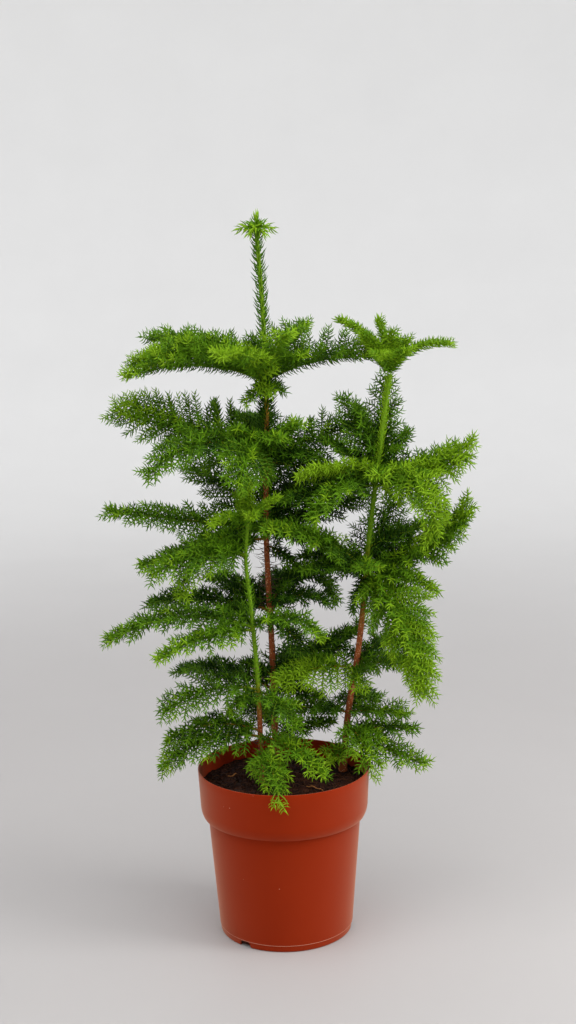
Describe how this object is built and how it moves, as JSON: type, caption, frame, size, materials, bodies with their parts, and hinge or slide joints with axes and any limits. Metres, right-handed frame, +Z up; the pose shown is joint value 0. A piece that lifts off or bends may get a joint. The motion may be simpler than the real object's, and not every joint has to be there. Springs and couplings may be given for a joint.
{
  "type": "potted norfolk island pine",
  "caption": "Young conifer clump of three slender stems with whorls of feathery needle boughs, in a plain tapered nursery pot filled with soil.",
  "frame": {"origin": "middle of the pot's flat underside", "axes": "+Z up along the stems, +X to the right and -Y towards the viewer of the picture"},
  "size_m": [0.5829, 0.3997, 1.1223],
  "materials": {
    "pot": "moulded polypropylene in terracotta orange, satin",
    "soil": "moist fibrous peat, matt",
    "bark": "thin reddish-brown young bark, green towards the tip",
    "needles": "soft curved needles, fresh green, satin"
  },
  "bodies": {
    "root": {"leaning_2_back": "needles", "leaning_2_left": "needles", "leaning_2_right": "needles", "leaning_3_front_left": "needles", "leaning_3_front_right": "needles", "leaning_3_left": "needles", "leaning_3_right": "needles", "leaning_4_back": "needles", "leaning_4_front_right": "needles", "leaning_4_left": "needles", "leaning_4_right": "needles", "leaning_5_left": "needles", "leaning_5_right": "needles", "leaning_6_left": "needles", "leaning_6_right": "needles", "leaning_7_front_left": "needles", "leaning_7_front_right": "needles", "leaning_7_right": "needles", "leaning_crown": "needles", "leaning_stem": "bark", "pot": "pot", "short_2_left": "needles", "short_3_front_left": "needles", "short_3_left": "needles", "short_3_right": "needles", "short_4_left": "needles", "short_4_right": "needles", "short_5_left": "needles", "short_5_right": "needles", "short_6_front": "needles", "short_crown": "needles", "short_stem": "bark", "soil": "soil", "tall_1_back_left": "needles", "tall_1_back_right": "needles", "tall_1_front_left": "needles", "tall_1_front_right": "needles", "tall_1_left": "needles", "tall_1_right": "needles", "tall_2_back": "needles", "tall_2_front": "needles", "tall_2_front_left": "needles", "tall_2_front_right": "needles", "tall_2_left": "needles", "tall_2_right": "needles", "tall_3_back": "needles", "tall_3_back_left": "needles", "tall_3_left": "needles", "tall_3_right": "needles", "tall_4_back": "needles", "tall_4_back_left": "needles", "tall_4_left": "needles", "tall_4_right": "needles", "tall_5_back": "needles", "tall_5_left": "needles", "tall_5_right": "needles", "tall_6_back": "needles", "tall_6_right": "needles", "tall_crown": "needles", "tall_stem": "bark"}
  },
  "joints": []
}
